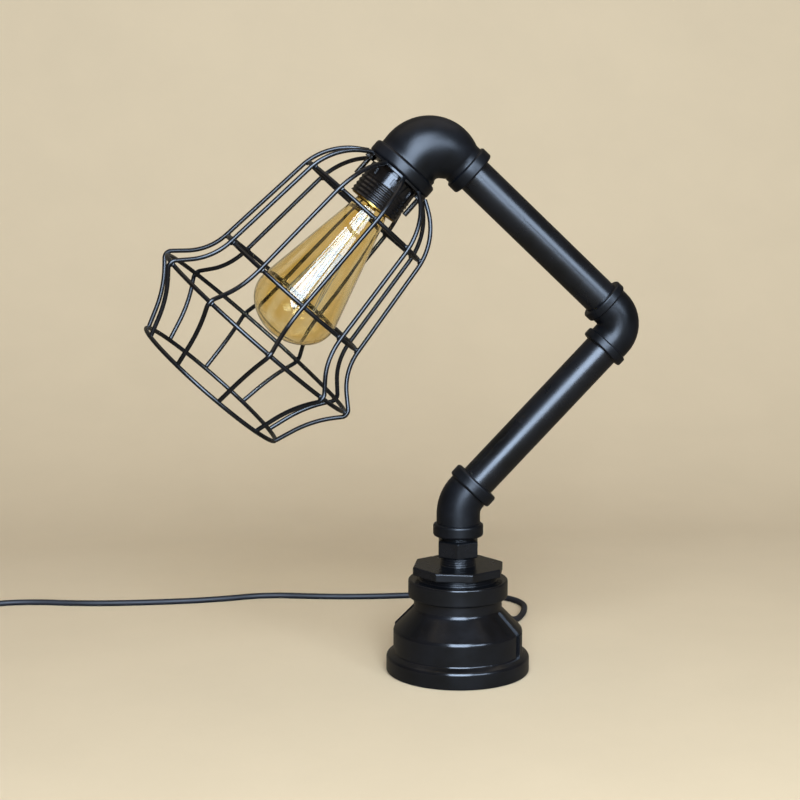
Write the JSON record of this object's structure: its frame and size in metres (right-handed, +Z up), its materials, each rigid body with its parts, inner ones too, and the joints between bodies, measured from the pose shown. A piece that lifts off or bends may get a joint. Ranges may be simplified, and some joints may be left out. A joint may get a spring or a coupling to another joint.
{
  "type": "cage table lamp",
  "caption": "Table lamp of black pipe fittings: a bell reducer base, two pipe arms on elbows that swivel, and a wire cage round a tubular amber bulb.",
  "frame": {"origin": "Middle of the base's underside, on the floor.", "axes": "+Z up along the base's axis, the arms lie in the XZ plane, the middle elbow is on the +X side and the cord leaves on the +Y side."},
  "size_m": [0.6439, 0.3175, 0.415],
  "materials": {
    "fitting_black": "satin black paint on cast iron and steel pipe",
    "cage_black": "satin black paint on wire",
    "zinc_steel": "zinc plated",
    "bakelite": "moulded, dull gloss",
    "brass": "pressed sheet and turned",
    "porcelain": "glazed ceramic",
    "black_glass": "opaque cap glass",
    "amber_glass": "clear amber tint",
    "clear_glass": "clear",
    "filament_wire": "thin drawn wire",
    "cord_rubber": "smooth round flex",
    "black_plastic": "fine moulded grain",
    "fibre_board": "pressed fibre disc",
    "tie_fabric": "woven hook-and-loop strip"
  },
  "bodies": {
    "base": {"base_reducer": "fitting_black", "base_cover": "fibre_board", "cable_grommet": "cord_rubber", "base_bushing": "fitting_black", "riser_nipple": "fitting_black", "base_lead": "cord_rubber", "cord_free": "cord_rubber", "cord_coil": "cord_rubber", "cord_tail": "cord_rubber", "cord_tie": "tie_fabric", "switch_base": "black_plastic", "switch_cover": "black_plastic", "switch_pin": "zinc_steel", "switch_screws": "zinc_steel", "switch_contacts": "brass", "plug_body": "black_plastic", "plug_pins": "brass"},
    "lower_arm": {"lower_elbow": "fitting_black", "lower_pipe": "fitting_black", "lower_lead": "cord_rubber"},
    "upper_arm": {"middle_elbow": "fitting_black", "upper_pipe": "fitting_black", "upper_lead": "cord_rubber"},
    "head": {"head_elbow": "fitting_black", "cage_plate": "cage_black", "cage_studs": "zinc_steel", "cage_nuts": "zinc_steel", "cage_rib_1": "cage_black", "cage_rib_2": "cage_black", "cage_rib_3": "cage_black", "cage_rib_4": "cage_black", "cage_rib_5": "cage_black", "cage_rib_6": "cage_black", "cage_rib_7": "cage_black", "cage_rib_8": "cage_black", "cage_rib_9": "cage_black", "cage_rib_10": "cage_black", "cage_ring_1": "cage_black", "cage_ring_2": "cage_black", "cage_ring_3": "cage_black", "cage_ring_4": "cage_black", "holder_body": "bakelite", "holder_cap": "bakelite", "holder_insert": "porcelain", "holder_shell": "brass", "holder_contact": "brass", "terminal_screws": "zinc_steel", "head_lead": "cord_rubber"},
    "bulb": {"bulb_cap": "brass", "bulb_insulator": "black_glass", "bulb_contact": "brass", "bulb_glass": "amber_glass", "bulb_stem": "clear_glass", "bulb_supports": "zinc_steel", "bulb_filament": "filament_wire"},
    "rocker": {"switch_rocker": "black_plastic"}
  },
  "joints": [
    {"name": "base_swivel", "type": "hinge", "parent": "base", "child": "lower_arm", "pos_m": [0, 0, 0.111], "axis": [0, 0, 1], "range_deg": [-170, 170]},
    {"name": "arm_swivel", "type": "hinge", "parent": "lower_arm", "child": "upper_arm", "pos_m": [0.1258, 0, 0.26256], "axis": [0.6884, 0, 0.7254], "range_deg": [-45, 45]},
    {"name": "head_swivel", "type": "hinge", "parent": "upper_arm", "child": "head", "pos_m": [-0.01754, 0, 0.39858], "axis": [-0.7254, 0, 0.6884], "range_deg": [-90, 90]},
    {"name": "bulb_turn", "type": "hinge", "parent": "head", "child": "bulb", "pos_m": [-0.04664, 0, 0.37164], "axis": [-0.617, 0, -0.7869], "range_deg": [-720, 0]},
    {"name": "switch_rocker", "type": "hinge", "parent": "base", "child": "rocker", "pos_m": [-0.412, 0.107, 0.0148], "axis": [1, 0, 0], "range_deg": [-14, 0]}
  ]
}
